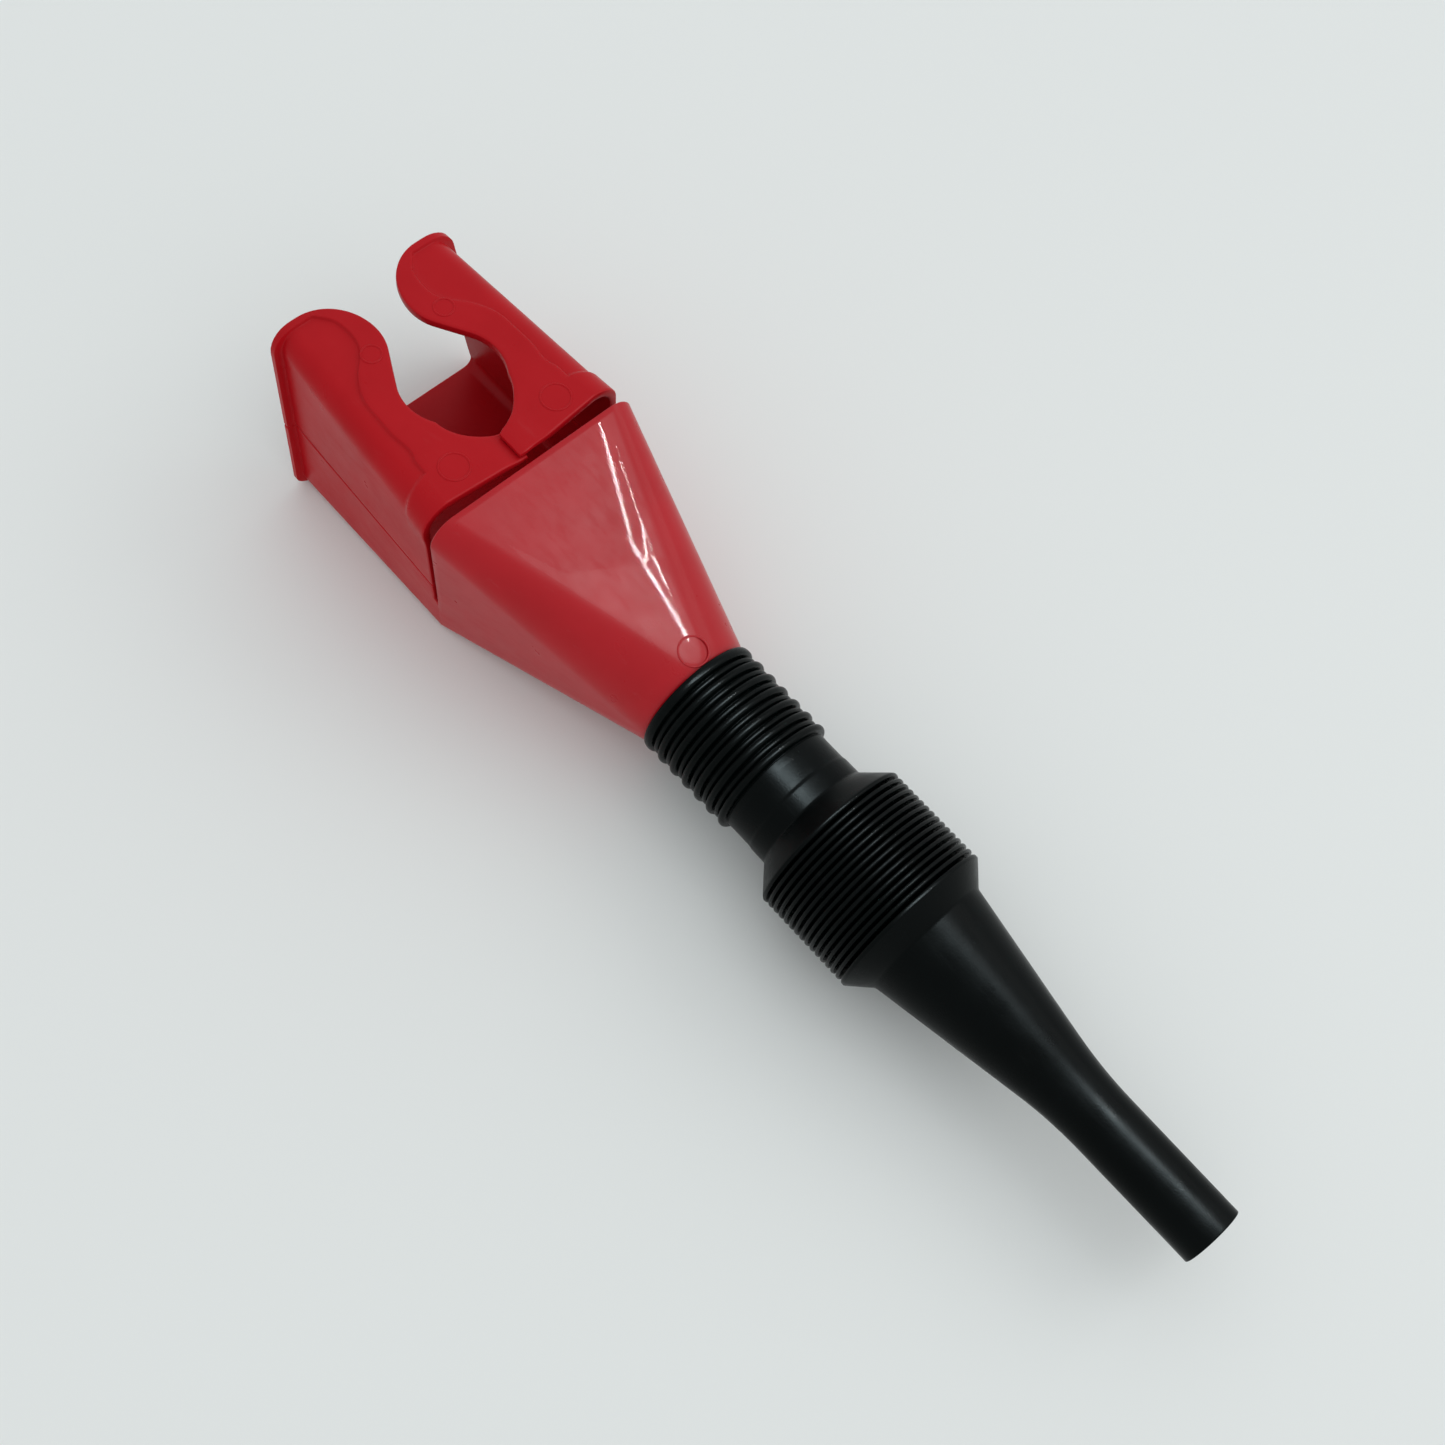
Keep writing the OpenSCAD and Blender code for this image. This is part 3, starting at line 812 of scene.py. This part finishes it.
def build_neck():
    centres = [LIP_X] + [mid(n, 0) for n in NECK_RINGS]
    sleeve_x = low("sleeve", 0)
    for k in range(len(NECK_RINGS)):
        x0, x1 = centres[k], centres[k + 1]
        outline = neck_groove(x0, x1) + [(x1, NECK_IN), (x0, NECK_IN)]
        obj = lathe(f"neck_fold_{k + 1}", outline, BLACK_RIB)
        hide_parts(NECK_RINGS[k])
        finish_black(obj)
        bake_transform(obj)
    x0 = centres[-1]
    a, r, deep = x0 + RIDGE_HALF, NECK_R, NECK_R - GROOVE_DEPTH
    outline = crest(x0, r, RIDGE_HALF, 1) + rounded([
        (a + 0.02, r - 1.15), (a + 0.14, deep), (a + 0.4, deep), (a + 0.5, SLEEVE_R + 0.1),
        (sleeve_x, SLEEVE_R),
    ], [0, 0.12, 0.12, 0.3, 0], 3) + [(sleeve_x, NECK_IN), (x0, NECK_IN)]
    obj = lathe("neck_end_fold", outline, BLACK_RIB)
    finish_black(obj)
    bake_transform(obj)


def build_sleeve():
    x0 = low("sleeve", 0)
    flange_end = high("sleeve", 0)
    flange_x = flange_end - FLANGE_L
    flare_x = flange_x - FLARE_L
    r = SLEEVE_R
    step = lerp(x0, flare_x, 0.48)
    crest_x = flange_end - FLANGE_L / 2
    outline = rounded([
        (x0, r), (step, r + 0.02), (step + 0.9, r + 0.24), (flare_x - 0.2, r + 0.3),
        (flange_x - 0.1, BELLOWS_R - 0.35), (flange_x + 0.35, BELLOWS_R), (crest_x, BELLOWS_R),
    ], [0, 0.3, 0.3, 0.5, 0.4, 0.2, 0], 5)
    outline += rounded([
        (crest_x, BELLOWS_R - 0.6), (flange_x, BELLOWS_R - 1.4), (flare_x, r + 0.4 - SPOUT_WALL),
        (x0, NECK_IN),
    ], [0, 0.5, 1.5, 0], 4)
    obj = lathe("sleeve_shell", outline, BLACK_SMOOTH)
    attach(obj, "sleeve")
    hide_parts("sleeve")
    finish_black(obj)


def pleat_fold(x0, x1):
    """Closed outline of one fold of the bellows, from one crest through the root to the next crest."""
    r, skin = BELLOWS_R, 0.42
    mid_x = (x0 + x1) / 2
    falling = crest(x0, r, PLEAT_HALF, 1, PLEAT_STEPS) + [
        (lerp(x0 + PLEAT_HALF, mid_x - 0.08, s), lerp(r - PLEAT_HALF, PLEAT_ROOT_R + 0.2, s))
        for s in (0.25, 0.5, 0.75, 1)
    ]
    outer = falling + [(mid_x, PLEAT_ROOT_R)] + [(x0 + x1 - x, q) for x, q in reversed(falling)]
    under = [(x0, r - skin), (x0 + 0.18, r - skin - 0.12)]
    under += [(lerp(x0 + 0.22, mid_x - 0.35, s), lerp(r - skin - 0.6, PLEAT_ROOT_R, s)) for s in (0, 0.5, 1)]
    lower = under + [(mid_x, PLEAT_ROOT_R - 0.5)] + [(x0 + x1 - x, q) for x, q in reversed(under)]
    return outer + lower[::-1]


def build_bellows():
    first, last = high("sleeve", 0) - FLANGE_L / 2, low("nozzle", 0) + FLANGE_L / 2
    ends = [first] + [mid(n, 0) for n in PLEATS] + [last]
    for k in range(len(ends) - 1):
        x0, x1 = ends[k], ends[k + 1]
        obj = lathe(f"bellows_fold_{k + 1}", pleat_fold(x0, x1), BLACK_RIB)
        if k < len(PLEATS):
            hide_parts(PLEATS[k])
        finish_black(obj)
        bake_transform(obj)


def mould_line(name, profile, angle, body):
    """The fine raised line that the two halves of a blow mould leave, along an outer profile."""
    turn = math.radians(angle)
    out = np.array((0.0, math.cos(turn), math.sin(turn)))
    side = np.array((0.0, -math.sin(turn), math.cos(turn)))
    half, height, sunk = 0.14, 0.05, -0.03
    verts, faces = [], []
    for x, r in profile:
        base = np.array((x, 0.0, AXIS_Z))
        for across, lift in ((-half, sunk), (-0.4 * half, height), (0.4 * half, height), (half, sunk)):
            verts.append(base + out * (r + lift) + side * across)
    for k in range(len(profile) - 1):
        for j in range(3):
            faces.append([4 * k + j, 4 * k + j + 1, 4 * k + j + 5, 4 * k + j + 4])
    end = 4 * (len(profile) - 1)
    faces += [[0, 1, 2, 3], [end + 3, end + 2, end + 1, end]]
    for k in range(len(profile) - 1):
        faces.append([4 * k + 3, 4 * k, 4 * k + 4, 4 * k + 7])
    obj = finish_mesh(name, verts, faces, BLACK_SMOOTH, 80)
    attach(obj, body)
    finish_black(obj)


def build_nozzle():
    x0 = low("nozzle", 0) + FLANGE_L / 2
    chamfer_x = low("nozzle", 0) + FLANGE_L
    cone_x = chamfer_x + CONE_START
    tube_x = TIP_X - TUBE_L
    outer = rounded([
        (x0, BELLOWS_R), (chamfer_x - 0.1, BELLOWS_R), (cone_x, CONE_R), (tube_x, TUBE_R + 0.25),
        (TIP_X - 8, TUBE_R), (TIP_X, TUBE_R - 0.02), (TIP_X, BORE_R),
    ], [0, 0.35, 0.6, 10, 3, 0.35, 0], 7)
    inner = rounded([
        (TIP_X, BORE_R), (tube_x, BORE_R), (cone_x, 17.2), (chamfer_x, 17.6), (x0 + 0.2, BELLOWS_R - 1.2),
        (x0, BELLOWS_R - 0.6),
    ], [0, 10, 2, 1, 0.2, 0], 7)
    obj = lathe("nozzle_shell", outer + inner[1:], BLACK_SMOOTH)
    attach(obj, "nozzle")
    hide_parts("nozzle")
    for k, angle in enumerate((208, 28)):
        line = [p for p in outer if cone_x + 0.6 < p[0] < TIP_X - 0.6]
        mould_line(f"nozzle_mould_line_{k + 1}", line, angle, "nozzle")
    finish_black(obj)


build_collar()
build_neck()
build_sleeve()
build_bellows()
build_nozzle()

# ---------------------------------------------------------------- stage, light and camera


def floor_material():
    m, nt, shader = node_material("pale_floor")
    shader.inputs["Base Color"].default_value = (0.815, 0.835, 0.815, 1)
    shader.inputs["Roughness"].default_value = 0.5
    shader.inputs["Specular IOR Level"].default_value = 0.3
    return m


bpy.ops.mesh.primitive_plane_add(size=6, location=(0, 0, -0.0001))
floor = bpy.context.object
floor.name = "floor"
floor.data.materials.append(floor_material())

world = bpy.data.worlds.new("studio")
bpy.context.scene.world = world
world.use_nodes = True
background = world.node_tree.nodes["Background"]
background.inputs["Color"].default_value = (0.95, 0.98, 1.0, 1)
# The room is brighter on the window's side
wn, wl = world.node_tree.nodes, world.node_tree.links
split = wn.new("ShaderNodeSeparateXYZ")
wl.new(wn.new("ShaderNodeTexCoord").outputs["Generated"], split.inputs["Vector"])
room = wn.new("ShaderNodeMapRange")
room.interpolation_type = "SMOOTHSTEP"
room.inputs["From Min"].default_value, room.inputs["From Max"].default_value = -0.8, 0.5
room.inputs["To Min"].default_value, room.inputs["To Max"].default_value = 0.73, 0.98
wl.new(split.outputs["Y"], room.inputs["Value"])
wl.new(room.outputs["Result"], background.inputs["Strength"])


def gloss_only(light):
    light.visible_diffuse = False
    return light


def area_light(name, place, target, size_x, size_y, power, colour):
    """A rectangular light that faces a target. Sizes are in metres and power in watts."""
    data = bpy.data.lights.new(name, "AREA")
    data.shape = "RECTANGLE"
    data.size, data.size_y = size_x, size_y
    data.energy, data.color = power, colour
    obj = bpy.data.objects.new(name, data)
    bpy.context.scene.collection.objects.link(obj)
    obj.location = place
    obj.rotation_mode = "QUATERNION"
    obj.rotation_quaternion = (Vector(target) - Vector(place)).to_track_quat("-Z", "Y")
    return obj


area_light("window", (0.9, 2.4, 2.0), (0, 0, 0), 2.0, 1.2, 8, (1, 0.99, 0.97))
# These only show as reflections, so that they add no hard shadows
gloss_only(area_light("ceiling", (0.26, 0.50, 1.33), (-0.03, 0, 0), 0.36, 0.5, 2.6, (0.97, 0.99, 1)))
skylight = gloss_only(
    area_light("skylight", (-0.05, 0.10, 1.32), (0.07, 0, 0), 1.0, 0.36, 40, (0.78, 0.95, 1))
)
skylight.light_linking.receiver_collection = BLACK_PIECES

HOPPER_TOP = Vector((-0.055, 0.005, 0.05))
TUBE_WIDTH, TUBE_POWER = 0.0022, 0.30


def tube_light(name, a, b):
    """A thin ceiling tube from a to b that shines down on the hopper."""
    a, b = Vector(a), Vector(b)
    along = (b - a).normalized()
    away = a - HOPPER_TOP
    away = (away - along * away.dot(along)).normalized()
    side = away.cross(along)
    data = bpy.data.lights.new(name, "AREA")
    data.shape = "RECTANGLE"
    data.size, data.size_y, data.energy = (b - a).length, TUBE_WIDTH, TUBE_POWER
    obj = gloss_only(bpy.data.objects.new(name, data))
    bpy.context.scene.collection.objects.link(obj)
    middle = (a + b) / 2
    obj.matrix_world = Matrix((
        (along.x, side.x, away.x, middle.x),
        (along.y, side.y, away.y, middle.y),
        (along.z, side.z, away.z, middle.z),
        (0, 0, 0, 1),
    ))


# Ceiling tubes that the hopper's top mirrors as a fan of thin streaks
TUBES = [
    ((-0.085, 0.565), (0.03, 0.518)), ((0.03, 0.517), (0.15, 0.506)), ((-0.04, 0.600), (0.055, 0.528)),
    ((-0.03, 0.578), (0.06, 0.516)), ((0.06, 0.527), (0.15, 0.514)),
]
for k, (far_end, near_end) in enumerate(TUBES):
    tube_light(f"tube_{k + 1}", (*far_end, 1.35), (*near_end, 1.345))

# The camera looks steeply down from beside the nozzle end, turned a little about its own line of sight
CAM_AZ, CAM_EL, CAM_ROLL = math.radians(34.56), math.radians(65.17), math.radians(14.27)
CAM_DISTANCE = 0.52254
CAM_TARGET = Vector((-0.014155, 0.00065, 0.024))
SENSOR_MM, FOCAL_PX, IMAGE_PX = 36, 1900, 1445
back = Vector((math.sin(CAM_AZ) * math.cos(CAM_EL), -math.cos(CAM_AZ) * math.cos(CAM_EL), math.sin(CAM_EL)))
right = Vector((math.cos(CAM_AZ), math.sin(CAM_AZ), 0))
up = back.cross(right)
turned_right = right * math.cos(CAM_ROLL) + up * math.sin(CAM_ROLL)
turned_up = up * math.cos(CAM_ROLL) - right * math.sin(CAM_ROLL)
cam_data = bpy.data.cameras.new("camera")
cam_data.sensor_width = SENSOR_MM
cam_data.lens = SENSOR_MM * FOCAL_PX / IMAGE_PX
cam = bpy.data.objects.new("camera", cam_data)
bpy.context.scene.collection.objects.link(cam)
cam.matrix_world = Matrix((
    (turned_right.x, turned_up.x, back.x, 0),
    (turned_right.y, turned_up.y, back.y, 0),
    (turned_right.z, turned_up.z, back.z, 0),
    (0, 0, 0, 1),
))
cam.location = CAM_TARGET + back * CAM_DISTANCE
bpy.context.scene.camera = cam
bpy.context.scene.view_settings.view_transform = "Standard"
